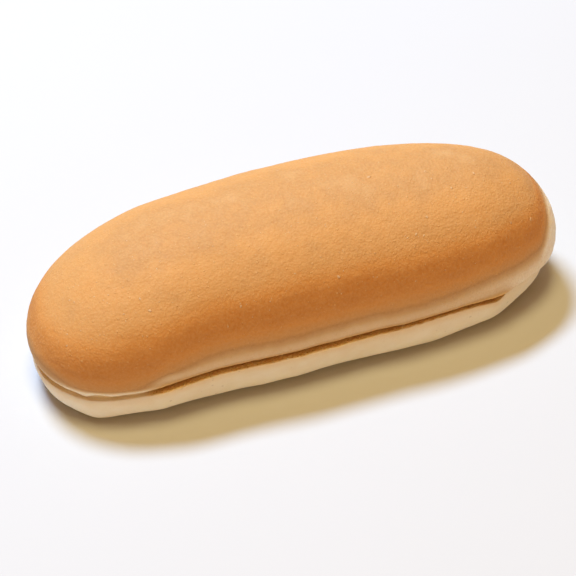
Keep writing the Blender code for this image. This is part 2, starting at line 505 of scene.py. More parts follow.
@dataclass(frozen=True)
class FineRelief:
    """Small relief of the skins, on top of the form."""

    wrinkle: float = 0.055
    wrinkle_size: float = 3.2
    peel: float = 0.06
    peel_size: float = 1.5
    right_gain: float = 0.35
    right_span: tuple[float, float] = (-20.0, 60.0)
    crumb: float = 0.17
    crumb_size: float = 1.5
    crumb_detail: float = 2.1
    crumb_start: float = 0.3
    tear: float = 0.5
    tear_size: float = 1.9
    tear_drift: float = 5.2
    torn_depth: float = 0.2
    base: float = 0.1
    base_size: float = 7.0
    base_skin: float = 0.4
    base_span: tuple[float, float] = (0.75, 1.0)
    foot: float = 0.3
    foot_size: float = 8.0
    foot_span: tuple[float, float] = (0.5, 1.0)
    rim: float = 0.22
    right_rim: float = 0.4
    rim_centre: float = 0.75
    rim_reach: float = 0.3
    wave_span: tuple[float, float] = (0.1, 0.9)
    lip_waves: tuple[Swell, ...] = (
        Swell(-72.6, 2.6, -0.55),
        Swell(-68.9, 3.4, 0.75),
        Swell(-64.4, 3.0, -0.2),
        Swell(68.0, 2.2, 0.5),
        Swell(71.6, 2.4, -0.35),
    )
    crack: Swell = Swell(68.4, 2.6, 0.75)
    crack_drop: float = 0.22
    crease: Swell = Swell(-59.0, 9.0, 0.22)
    crease_drop: float = 0.8
    crease_width: float = 0.12

    def skin(self, point: Vector, crust: float) -> float:
        """Measure the fine relief of a baked skin.

        Args:
            point: Point of the skin.
            crust: 1 on the crust, less on the smoother base.

        Returns:
            Height of the relief.
        """
        gain = 1 + self.right_gain * smooth(*self.right_span, point.x)
        wrinkle = noise.noise(point / self.wrinkle_size + NOISE_START)
        peel = noise.noise(point / self.peel_size - NOISE_START)
        return crust * gain * (self.wrinkle * wrinkle + self.peel * peel)

    def torn(self, point: Vector) -> float:
        """Measure the relief of torn crumb.

        Args:
            point: Point of the crumb.

        Returns:
            Height of the relief.
        """
        rough = noise.noise(point / self.crumb_size + NOISE_START)
        fine = noise.noise(point * self.crumb_detail / self.crumb_size - NOISE_START)
        return self.crumb * (rough + 0.5 * fine)

    def tear_edge(self, x: float) -> float:
        """Measure how far the torn edge of the ledge stands out.

        Args:
            x: Station along the roll.

        Returns:
            Distance outwards.
        """
        coarse = noise.noise(Vector((x / self.tear_drift, 3.0, 1.0)))
        fine = noise.noise(Vector((x / self.tear_size, 9.0, 4.0)))
        return self.tear * (0.5 * coarse + 0.5 * fine)

    def foot_wave(self, x: float, drop: float) -> float:
        """Measure how far the uneven foot of the base stands out."""
        wave = noise.noise(Vector((x / self.foot_size, 5.0, 2.0)))
        return self.foot * wave * smooth(*self.foot_span, drop)

    def lip_rise(self, rib: Rib) -> float:
        """Measure how far the crust's lower edge rides up on the near side."""
        return sum(wave.at(rib.x) for wave in self.lip_waves) if rib.near else 0.0

    def base_dent(self, rib: Rib, drop: float) -> float:
        """Measure the creases pressed into the near base wall.

        Args:
            rib: Section of the roll.
            drop: Place down the wall, 1 on the floor.

        Returns:
            Depth of the dent.
        """
        if not rib.near:
            return 0.0
        crease = self.crease.at(rib.x) * hump(self.crease_drop, self.crease_width, drop)
        return crease + self.crack.at(rib.x) * hump(0.0, self.crack_drop, drop)


@dataclass(frozen=True)
class Baking:
    """How the oven browned the roll, from 0 on pale skin to 1 on the darkest crust, with painted shade
    darkening the crust towards the slice and painted floor-bounce light paling the base wall towards its
    foot.
    """

    crown: float = 0.5
    cheek: float = 0.6
    cheek_span: tuple[float, float] = (0.12, 0.38)
    band: float = 1.0
    band_from: float = 0.5
    band_before_edge: float = 0.19
    edge_skin: float = 0.1
    left_tip_skin: float = 0.22
    right_tip_skin: float = 0.0
    # Painted shade: on the sliced side the lip and the crust's edge darken towards the slice.
    lip_cut_shade: float = 0.45
    lip_line_shade: float = 0.22
    edge_width: float = 0.15
    left_edge: float = 1.02
    middle_edge: float = 0.915
    right_edge: float = 0.855
    left_tip_edge: float = 0.93
    tip_edge: float = 0.56
    left_fall: tuple[float, float] = (-66.0, -34.0)
    right_fall: tuple[float, float] = (30.0, 70.0)
    tip_fall: tuple[float, float] = (70.0, 81.0)
    left_tip_fall: tuple[float, float] = (72.0, 82.0)
    drift: float = 0.05
    drift_size: float = 13.0
    blotch: float = 0.05
    blotch_size: float = 4.5
    drift_when_pale: float = 0.4
    line_shade_from: float = 0.955
    lip_fade: float = 0.4
    # Painted light: the base wall pales from its top edge down towards its foot.
    base_top: float = 0.115
    base_foot: float = 0.0
    bounce_light_fade: float = 0.7
    # Painted shade and amber bounce glow of the slice, on the lip, the ledge and the top of the wall.
    lip_shade_span: tuple[float, float] = (0.15, 0.9)
    ledge_shade_span: tuple[float, float] = (0.5, 0.12)
    wall_slice_shade: float = 0.2
    wall_shade_drop: float = 0.2

    def pale_edge(self, x: float) -> float:
        """Find the share of the dome at which brown crust turns into pale skin.

        Args:
            x: Station along the roll.

        Returns:
            The share.
        """
        edge = mixed(self.left_edge, self.middle_edge, smooth(*self.left_fall, x))
        edge = mixed(edge, self.right_edge, smooth(*self.right_fall, x))
        edge = mixed(edge, self.left_tip_edge, smooth(*self.left_tip_fall, -x))
        return mixed(edge, self.tip_edge, smooth(*self.tip_fall, x))

    def pale_skin(self, x: float) -> float:
        """Tell how brown the pale skin below the edge still is."""
        skin = mixed(self.edge_skin, self.left_tip_skin, smooth(*self.left_tip_fall, -x))
        return mixed(skin, self.right_tip_skin, smooth(*self.tip_fall, x))

    def browning(self, zone: Zone, share: float, rib: Rib, point: Vector) -> float:
        """Tell how brown the skin is at a point, with the painted shade and light included.

        Args:
            zone: Part of the profile.
            share: Place within that part.
            rib: Section that the point is on.
            point: The point itself.

        Returns:
            The browning.
        """
        drift = self.drift * noise.noise(point / self.drift_size + NOISE_START)
        drift += self.blotch * noise.noise(point / self.blotch_size + NOISE_START)
        edge = self.pale_edge(point.x)
        skin = self.pale_skin(point.x)
        low, high = edge - self.edge_width, edge + self.edge_width
        if zone is Zone.DOME:
            value = mixed(self.crown, self.cheek, smooth(*self.cheek_span, share))
            rise = smooth(self.band_from, edge - self.band_before_edge, share)
            fall = smooth(low, high, share)
            value = mixed(mixed(value, self.band, rise), skin, fall)
            # Painted shade: the crust darkens towards the slice's line.
            line_shade = smooth(self.line_shade_from, 1.0, share) * rib.cut
            return mixed(value, self.lip_line_shade, line_shade) + drift * mixed(1.0, self.drift_when_pale, fall)
        drift *= self.drift_when_pale
        if zone is Zone.LIP:
            value = mixed(self.band, skin, smooth(low, high, 1.0))
            # Painted shade: on the sliced side the lip darkens towards the slice, most at its mouth.
            value = mixed(value, self.lip_line_shade, rib.cut)
            end = mixed(skin, self.lip_cut_shade, rib.cut)
            return mixed(value, end, smooth(0.0, self.lip_fade, share)) + drift
        if zone is Zone.WALL:
            # Painted light: the wall pales towards its foot, where the floor's bounce light falls.
            return mixed(self.base_top, self.base_foot, smooth(0.0, self.bounce_light_fade, share)) + drift
        return self.base_foot if zone is Zone.UNDERSIDE else self.base_top

    def warmth(self, zone: Zone, share: float, rib: Rib) -> float:
        """Tell how much of the slice's painted shade and amber bounce glow a point takes.

        Args:
            zone: Part of the profile.
            share: Place within that part.
            rib: Section that the point is on.

        Returns:
            The painted slice shade, from 0 to 1.
        """
        # Painted shade of the slice, with amber bounce glow at its mouth: full inside the cut, fading across
        # the lip, ledge and top of the wall.
        levels = {
            Zone.DOME: 0.0,
            Zone.LIP: smooth(*self.lip_shade_span, share),
            Zone.CUT_ROOF: 1.0,
            Zone.CUT_FLOOR: 1.0,
            Zone.LEDGE: mixed(*self.ledge_shade_span, smooth(0.0, 1.0, share)),
            Zone.WALL: self.wall_slice_shade * hump(0.0, self.wall_shade_drop, share),
            Zone.UNDERSIDE: 0.0,
        }
        return levels[zone] * rib.cut


@dataclass
class HoagieRoll:
    """The baked roll itself: crust, torn crumb and pale base as one closed mesh."""

    form: RollForm = field(default_factory=RollForm)
    relief: FineRelief = field(default_factory=FineRelief)
    baking: Baking = field(default_factory=Baking)
    name: str = "baked_roll"
    segments: int = 680
    levels: tuple[tuple[Zone, int], ...] = (
        (Zone.DOME, 74),
        (Zone.LIP, 15),
        (Zone.CUT_ROOF, 6),
        (Zone.CUT_FLOOR, 6),
        (Zone.LEDGE, 6),
        (Zone.WALL, 25),
        (Zone.UNDERSIDE, 5),
    )
    mouth_share: float = 0.12
    cut_floor_crowding: float = 0.6
    wall_curve: float = 1.1
    foot_hook: float = 9.0
    underside_inset: float = 13.0
    torn_from: float = 0.25
    weld: float = 0.01
    rows: list[Row] = field(init=False)
    ribs: list[Rib] = field(init=False)
    shift: Vector = field(init=False)
    piece: bpy.types.Object = field(init=False)

    def __post_init__(self) -> None:
        """Lay out the rows from the ridge to the floor and the sections round the roll."""
        self.rows = [Row(zone, i / count) for zone, count in self.levels for i in range(count)]
        self.ribs = self.make_ribs()

    def make_ribs(self) -> list[Rib]:
        """Set up the sections round the roll.

        Returns:
            One rib for each segment, from the right tip along the far side and back.
        """
        half = self.form.outline.even_points(self.segments // 2)
        ribs = [Rib(self.form, x, y) for x, y in half]
        ribs += [Rib(self.form, x, -y) for x, y in reversed(half[1:-1])]
        return ribs

    def place(self, row: Row, rib: Rib) -> Vector:
        """Place a mesh point on the straight roll.

        Args:
            row: Level of the point.
            rib: Section of the point.

        Returns:
            The point.
        """
        share = row.share
        if row.zone is Zone.DOME:
            return rib.dome(share)
        if row.zone is Zone.LIP:
            return rib.lip(math.sin(share * math.pi / 2))
        if row.zone is Zone.CUT_ROOF:
            return rib.cut_wall(share**2, 1)
        if row.zone is Zone.CUT_FLOOR:
            return rib.cut_wall(mixed(1.0, self.mouth_share, share**self.cut_floor_crowding), -1)
        if row.zone is Zone.LEDGE:
            return rib.cut_wall(self.mouth_share, -1).lerp(rib.base(0.0, 0.0), share)
        if row.zone is Zone.WALL:
            drop = self.wall_drop(share)
            return rib.base(drop, (drop**self.wall_curve + drop**self.foot_hook) / 2)
        return rib.under(self.underside_inset * share, 1 - smooth(0.0, 1.0, share))

    def wall_drop(self, share: float) -> float:
        """Crowd the wall's rows a little towards its foot, where it hooks in."""
        return mixed(share, math.sin(share * math.pi / 2), 0.5)

    def roughen(self, row: Row, rib: Rib, point: Vector, normal: Vector) -> Vector:
        """Add fine relief to a placed point.

        Args:
            row: Level of the point.
            rib: Section of the point.
            point: Point of the smooth form.
            normal: Outward normal there.

        Returns:
            The moved point.
        """
        relief = self.relief
        share = row.share
        if row.zone is Zone.DOME:
            return point + normal * relief.skin(point, 1.0)
        if row.zone is Zone.LIP:
            rise = relief.lip_rise(rib) * smooth(*relief.wave_span, share)
            rim = relief.rim * hump(relief.rim_centre, relief.rim_reach, share) * (1 - rib.cut)
            rim *= relief.right_rim if rib.x > 0 else 1.0
            return point + normal * (relief.skin(point, 1.0) + rim) + Vector((0, 0, rise))
        if row.zone is Zone.LEDGE:
            torn = normal * relief.torn(point) * mixed(relief.crumb_start, 1.0, share)
            edge = rib.out * relief.tear_edge(rib.x) * share
            dent = rib.out * relief.base_dent(rib, 0.0) * share
            return point + (torn + edge) * rib.cut - dent
        if row.zone is Zone.WALL:
            drop = self.wall_drop(share)
            torn = rib.cut * (1 - smooth(0.0, relief.torn_depth, drop))
            soft = relief.base * noise.noise(point / relief.base_size - NOISE_START)
            soft = (relief.skin(point, relief.base_skin) + soft) * (1 - smooth(*relief.base_span, drop))
            fine = normal * (soft + relief.torn(point) * torn)
            edge = relief.tear_edge(rib.x) * torn + relief.foot_wave(rib.x, drop)
            return point + fine + rib.out * (edge - relief.base_dent(rib, drop))
        return point

    def build(self) -> bpy.types.Object:
        """Shape a sphere into the roll.

        Returns:
            The finished object, in metres.
        """
        rows = self.rows
        mesh = bmesh.new()
        layers = {name: mesh.verts.layers.float.new(name) for name in ("browning", "warmth", "grain")}
        bmesh.ops.create_uvsphere(mesh, u_segments=self.segments, v_segments=len(rows) + 1, radius=1.0)
        poles = [vertex for vertex in mesh.verts if self.level(vertex) < 0]
        bottom = [vertex for vertex in mesh.verts if self.level(vertex) >= len(rows)]
        places = {}
        for vertex in mesh.verts:
            if vertex in poles or vertex in bottom:
                continue
            turn = math.atan2(vertex.co.y, vertex.co.x) / math.tau
            places[vertex] = (self.level(vertex), self.ribs[round(turn * self.segments) % self.segments])
        for vertex in bottom:
            vertex.co = Vector((0.0, 0.0, 0.0))
        for vertex, (level, rib) in places.items():
            vertex.co = self.place(rows[level], rib)
        self.part_skins(mesh, places)
        bmesh.ops.delete(mesh, geom=poles, context="VERTS")
        bmesh.ops.recalc_face_normals(mesh, faces=mesh.faces[:])
        mesh.normal_update()
        moved = []
        for vertex, (level, rib) in places.items():
            self.paint(vertex, layers, rows[level], rib)
            moved.append((vertex, self.roughen(rows[level], rib, vertex.co.copy(), vertex.normal.copy())))
        for vertex, point in moved:
            vertex.co = point
        for vertex in mesh.verts:
            vertex.co = self.form.outline.bowed(vertex.co)
        self.centre(mesh)
        bmesh.ops.remove_doubles(mesh, verts=mesh.verts[:], dist=self.weld * MM)
        bmesh.ops.recalc_face_normals(mesh, faces=mesh.faces[:])
        self.piece = finished(mesh, self.name)
        return self.piece

    def level(self, vertex: bmesh.types.BMVert) -> int:
        """Tell which row a point of the starting sphere becomes."""
        polar = math.acos(max(-1.0, min(1.0, vertex.co.z)))
        return round(polar / math.pi * (len(self.rows) + 1)) - 1

    def part_skins(self, mesh: bmesh.types.BMesh, places: dict) -> None:
        """Share the faces out among the three skins.

        Args:
            mesh: The roll's mesh.
            places: Row and section of each point.
        """
        for face in mesh.faces:
            known = [places[vertex] for vertex in face.verts if vertex in places]
            level = min((level for level, _ in known), default=0)
            cut = max((rib.cut for _, rib in known), default=0.0)
            face.material_index = self.skin(self.rows[level].zone, cut).value

    def skin(self, zone: Zone, cut: float) -> Skin:
        """Tell which skin a part of the profile has."""
        found = ZONE_SKINS[zone]
        return Skin.BASE if found is Skin.CRUMB and cut < self.torn_from else found

    def paint(self, vertex: bmesh.types.BMVert, layers: dict, row: Row, rib: Rib) -> None:
        """Store how a point is baked and how much painted slice shade it takes, for the materials to read.

        Args:
            vertex: Point of the mesh.
            layers: The mesh's float layers by name.
            row: Level of the point.
            rib: Section of the point.
        """
        vertex[layers["browning"]] = self.baking.browning(row.zone, row.share, rib, vertex.co)
        vertex[layers["warmth"]] = self.baking.warmth(row.zone, row.share, rib)
        vertex[layers["grain"]] = smooth(*self.relief.right_span, vertex.co.x)

    def centre(self, mesh: bmesh.types.BMesh) -> None:
        """Bring the mesh to metres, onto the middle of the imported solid's box.

        Args:
            mesh: Mesh in millimetres.
        """
        low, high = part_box(NODE)
        xs = [vertex.co.x for vertex in mesh.verts]
        ys = [vertex.co.y for vertex in mesh.verts]
        own = Vector(((min(xs) + max(xs)) / 2, (min(ys) + max(ys)) / 2, 0.0)) * MM
        self.shift = Vector(((low.x + high.x) / 2, (low.y + high.y) / 2, low.z)) - own
        for vertex in mesh.verts:
            vertex.co = vertex.co * MM + self.shift

    def settled(self, point: Vector) -> Vector:
        """Turn a point of the straight roll in millimetres into its place in metres."""
        return self.form.outline.bowed(point) * MM + self.shift

    def near_rib(self, x: float) -> Rib:
        """Find the near side's section at a station."""
        near = [rib for rib in self.ribs if rib.near]
        return min(near, key=lambda rib: abs(rib.x - x))

    def dress(self) -> None:
        """Give the roll its three skins and tie it to the frame."""
        finishes = {Skin.CRUST: CrustFinish(), Skin.CRUMB: CrumbFinish(), Skin.BASE: BaseFinish()}
        for skin in Skin:
            self.piece.data.materials.append(finishes[skin].material())
        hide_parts(NODE)
        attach(self.piece, BODY)


def finished(mesh: bmesh.types.BMesh, name: str) -> bpy.types.Object:
    """Turn a built mesh into a smooth-shaded object of the scene.

    Args:
        mesh: Mesh in metres, freed here.
        name: Name of the piece.

    Returns:
        The object.
    """
    data = bpy.data.meshes.new(name)
    mesh.to_mesh(data)
    mesh.free()
    data.shade_smooth()
    piece = bpy.data.objects.new(name, data)
    bpy.context.scene.collection.objects.link(piece)
    return piece


@dataclass(frozen=True)
class Flake:
    """One small uneven lump of crumb or dried dough."""

    place: Matrix
    size: Vector
    seed: float
    unevenness: float = 0.45
    lump_density: float = 1.3

    def add(self, mesh: bmesh.types.BMesh) -> list[bmesh.types.BMVert]:
        """Add the lump to a mesh in metres.

        Args:
            mesh: Mesh that it is added to.

        Returns:
            Its points.
        """
        verts = bmesh.ops.create_icosphere(mesh, subdivisions=2, radius=1.0)["verts"]
        for vertex in verts:
            bulge = noise.noise(vertex.co * self.lump_density + Vector((self.seed, 0.0, 0.0)))
            vertex.co = self.place @ (vertex.co * (1 + self.unevenness * bulge) * self.size)
        return verts


def stuck_on(mesh: bmesh.types.BMesh, name: str, material: bpy.types.Material) -> bpy.types.Object:
    """Finish a mesh of joined flakes and let it ride on the roll.

    Args:
        mesh: Mesh in metres, freed here.
        name: Name of the piece.
        material: Its finish.

    Returns:
        The object.
    """
    piece = finished(mesh, name)
    piece.data.materials.append(material)
    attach(piece, BODY)
    return piece


@dataclass(frozen=True)
class CrumbCluster:
    """A stretch of the ledge where torn crumb has piled up."""

    x: float
    spread: float
    count: int
    size: float


@dataclass
class TornCrumbs:
    """Crumbs and flakes torn loose along the edge of the ledge."""

    roll: HoagieRoll
    clusters: tuple[CrumbCluster, ...] = (
        CrumbCluster(-12.4, 1.6, 9, 0.42),
        CrumbCluster(-6.6, 2.2, 7, 0.36),
        CrumbCluster(0.2, 3.4, 11, 0.38),
        CrumbCluster(9.5, 3.0, 6, 0.3),
        CrumbCluster(24.4, 2.4, 8, 0.42),
        CrumbCluster(-27.0, 5.0, 8, 0.28),
        CrumbCluster(38.0, 6.0, 8, 0.26),
        CrumbCluster(-44.0, 5.0, 6, 0.26),
    )
    scattered: int = 60
    scatter_span: tuple[float, float] = (-52.0, 57.0)
    scatter_size: float = 0.24
    ledge_span: tuple[float, float] = (0.35, 1.0)
    sinking: tuple[float, float] = (0.0, 0.12)
    widths: tuple[float, float] = (0.5, 0.8)
    thicknesses: tuple[float, float] = (0.3, 0.5)
    size_changes: tuple[float, float] = (0.6, 1.2)
    inner_slice_shade: float = 0.5
    slice_shade_changes: tuple[float, float] = (0.4, 1.0)
    noise_starts: tuple[float, float] = (0.0, 100.0)
    seed: int = 11
    name: str = "torn_crumbs"

    def build(self) -> bpy.types.Object:
        """Set the crumbs into the torn edge.

        Returns:
            The joined crumbs.
        """
        rng = random.Random(self.seed)
        mesh = bmesh.new()
        warmth = mesh.verts.layers.float.new("warmth")
        spots = []
        for cluster in self.clusters:
            for _ in range(cluster.count):
                spots.append((rng.gauss(cluster.x, cluster.spread / 2), cluster.size))
        for _ in range(self.scattered):
            spots.append((rng.uniform(*self.scatter_span), self.scatter_size))
        for x, size in spots:
            rib = self.roll.near_rib(x)
            share = rng.uniform(*self.ledge_span)
            edge = rib.out * self.roll.relief.tear_edge(rib.x) * share
            point = self.roll.place(Row(Zone.LEDGE, share), rib) + edge
            point.z -= rng.uniform(*self.sinking)
            turn = Euler([rng.uniform(0, math.tau) for _ in range(3)]).to_matrix().to_4x4()
            half = Vector((1.0, rng.uniform(*self.widths), rng.uniform(*self.thicknesses)))
            half *= size * rng.uniform(*self.size_changes) * MM
            # Crumbs deeper in the slice take more of its painted shade.
            crumb_shade = mixed(self.inner_slice_shade, 0.0, share) * rng.uniform(*self.slice_shade_changes)
            place = Matrix.Translation(self.roll.settled(point)) @ turn
            for vertex in Flake(place, half, rng.uniform(*self.noise_starts)).add(mesh):
                vertex[warmth] = crumb_shade
        return stuck_on(mesh, self.name, CrumbFinish(name="loose_crumb").material())


@dataclass(frozen=True)
class Spot:
    """A fleck that stands out: station along the roll, share of the dome and half-length."""

    x: float
    share: float
    size: float


@dataclass
class CrustFlecks:
    """Pale flecks of dried dough stuck to the crust."""

    roll: HoagieRoll
    spots: tuple[Spot, ...] = (
        Spot(22.4, 0.03, 0.6),
        Spot(39.4, 0.06, 0.45),
        Spot(40.4, 0.13, 0.4),
        Spot(45.2, 0.23, 0.45),
        Spot(49.8, 0.25, 0.35),
        Spot(53.9, 0.16, 0.5),
        Spot(34.8, 0.39, 0.4),
        Spot(45.9, 0.41, 0.35),
        Spot(68.4, 0.63, 0.6),
        Spot(60.8, 0.58, 0.35),
        Spot(29.8, 0.48, 0.5),
        Spot(32.5, 0.5, 0.5),
        Spot(27.2, 0.49, 0.4),
        Spot(4.5, 0.63, 0.5),
        Spot(-50.5, 0.5, 0.6),
        Spot(-52.3, 0.41, 0.4),
        Spot(-57.7, 0.48, 0.35),
        Spot(-43.8, 0.22, 0.35),
        Spot(-24.8, 0.66, 0.45),
        Spot(-74.1, 0.7, 0.4),
        Spot(-70.1, 0.45, 0.35),
    )
    scattered: int = 190
    near_share: float = 0.6
    scatter_shares: tuple[float, float] = (0.03, 0.78)
    scatter_sizes: tuple[float, float] = (0.12, 0.3)
    widths: tuple[float, float] = (0.45, 0.8)
    thickness: float = 0.16
    noise_starts: tuple[float, float] = (0.0, 100.0)
    seed: int = 5
    name: str = "crust_flecks"

    def build(self) -> bpy.types.Object:
        """Stick the flecks to the finished crust.

        Returns:
            The joined flecks.
        """
        rng = random.Random(self.seed)
        mesh = bmesh.new()
        ribs = self.roll.ribs
        near = [rib for rib in ribs if rib.near]
        placed = [(self.rib_through(spot, near), spot.share, spot.size) for spot in self.spots]
        for _ in range(self.scattered):
            rib = rng.choice(near if rng.random() < self.near_share else ribs)
            placed.append((rib, rng.uniform(*self.scatter_shares), rng.uniform(*self.scatter_sizes)))
        for rib, share, size in placed:
            point = self.roll.settled(rib.dome(share))
            _, spot, normal, _ = self.roll.piece.closest_point_on_mesh(point)
            half = Vector((size, size * rng.uniform(*self.widths), size * self.thickness)) * MM
            turn = normal.to_track_quat("Z", "Y").to_matrix().to_4x4()
            turn = Matrix.Translation(spot) @ turn @ Matrix.Rotation(rng.uniform(0, math.tau), 4, "Z")
            Flake(turn, half, rng.uniform(*self.noise_starts)).add(mesh)
        return stuck_on(mesh, self.name, FleckFinish().material())

    def rib_through(self, spot: Spot, ribs: list[Rib]) -> Rib:
        """Find the section that passes closest to a spot."""
        rho = math.sin(spot.share * math.pi / 2)
        return min(ribs, key=lambda rib: abs(rib.foot.x + rib.reach.x * rho - spot.x))


class Wiring:
    """Adds nodes to one shader tree and joins them."""

    def __init__(self, tree: bpy.types.NodeTree) -> None:
        """Keep the tree."""
        self.tree = tree

    def node(self, kind: str, **settings: object) -> bpy.types.Node:
        """Add a node.

        Args:
            kind: Its type, without the leading ShaderNode.
            settings: Properties to set on it.

        Returns:
            The node.
        """
        made = self.tree.nodes.new("ShaderNode" + kind)
        for key, value in settings.items():
            setattr(made, key, value)
        return made

    def feed(self, socket: bpy.types.NodeSocket, value: Input) -> None:
        """Give a socket a number, a colour or another socket's output.

        Args:
            socket: The input.
            value: What it takes.
        """
        if isinstance(value, bpy.types.NodeSocket):
            self.tree.links.new(value, socket)
        elif isinstance(value, tuple) and len(value) == 3 and socket.type == "RGBA":
            socket.default_value = (*value, 1.0)
        else:
            socket.default_value = value

    def math(self, operation: str, *values: Input) -> bpy.types.NodeSocket:
        """Add a sum or another operation on numbers.

        Args:
            operation: Name of the operation.
            values: Numbers or outputs that it takes.

        Returns:
            Its output.
        """
        made = self.node("Math", operation=operation)
        for socket, value in zip(made.inputs, values):
            self.feed(socket, value)
        return made.outputs[0]

    def clamped(self, operation: str, *values: Input) -> bpy.types.NodeSocket:
        """Add an operation on numbers whose result stays between 0 and 1.

        Args:
            operation: Name of the operation.
            values: Numbers or outputs that it takes.

        Returns:
            Its output.
        """
        result = self.math(operation, *values)
        result.node.use_clamp = True
        return result

    def noise(self, place: Input, scale: Input, detail: float) -> bpy.types.NodeSocket:
        """Add a cloudy pattern.

        Args:
            place: Where it is looked up.
            scale: How dense it is.
            detail: How much fine detail it has.

        Returns:
            Its value, from 0 to 1.
        """
        made = self.node("TexNoise")
        for socket, value in (("Vector", place), ("Scale", scale), ("Detail", detail)):
            self.feed(made.inputs[socket], value)
        return made.outputs["Fac"]

    def mix(self, share: Input, first: Input, second: Input) -> bpy.types.NodeSocket:
        """Mix two colours.

        Args:
            share: How much of the second one shows.
            first: A colour.
            second: Another colour.

        Returns:
            The mixed colour.
        """
        made = self.node("Mix", data_type="RGBA")
        self.feed(made.inputs["Factor"], share)
        first_socket, second_socket = (item for item in made.inputs if item.enabled and item.type == "RGBA")
        self.feed(first_socket, first)
        self.feed(second_socket, second)
        return next(item for item in made.outputs if item.enabled)

    def ramp(self, share: Input, stops: tuple[tuple[float, Colour], ...]) -> bpy.types.NodeSocket:
        """Look a value up in a row of colours.

        Args:
            share: Value from 0 to 1.
            stops: Places and colours.

        Returns:
            The colour there.
        """
        made = self.node("ValToRGB")
        elements = made.color_ramp.elements
        while len(elements) < len(stops):
            elements.new(0.5)
        for element, (place, colour) in zip(elements, stops):
            element.position = place
            element.color = (*colour, 1.0)
        self.feed(made.inputs[0], share)
        return made.outputs[0]

    def attribute(self, name: str) -> bpy.types.NodeSocket:
        """Read a float attribute of the piece."""
        return self.node("Attribute", attribute_name=name).outputs["Fac"]

    def group(self, tree: bpy.types.NodeTree, **values: Input) -> bpy.types.Node:
        """Place a node group.

        Args:
            tree: The group.
            values: Numbers, colours or outputs for its inputs.

        Returns:
            The group's node.
        """
        made = self.node("Group", node_tree=tree)
        for key, value in values.items():
            self.feed(made.inputs[key.replace("_", " ").capitalize()], value)
        return made


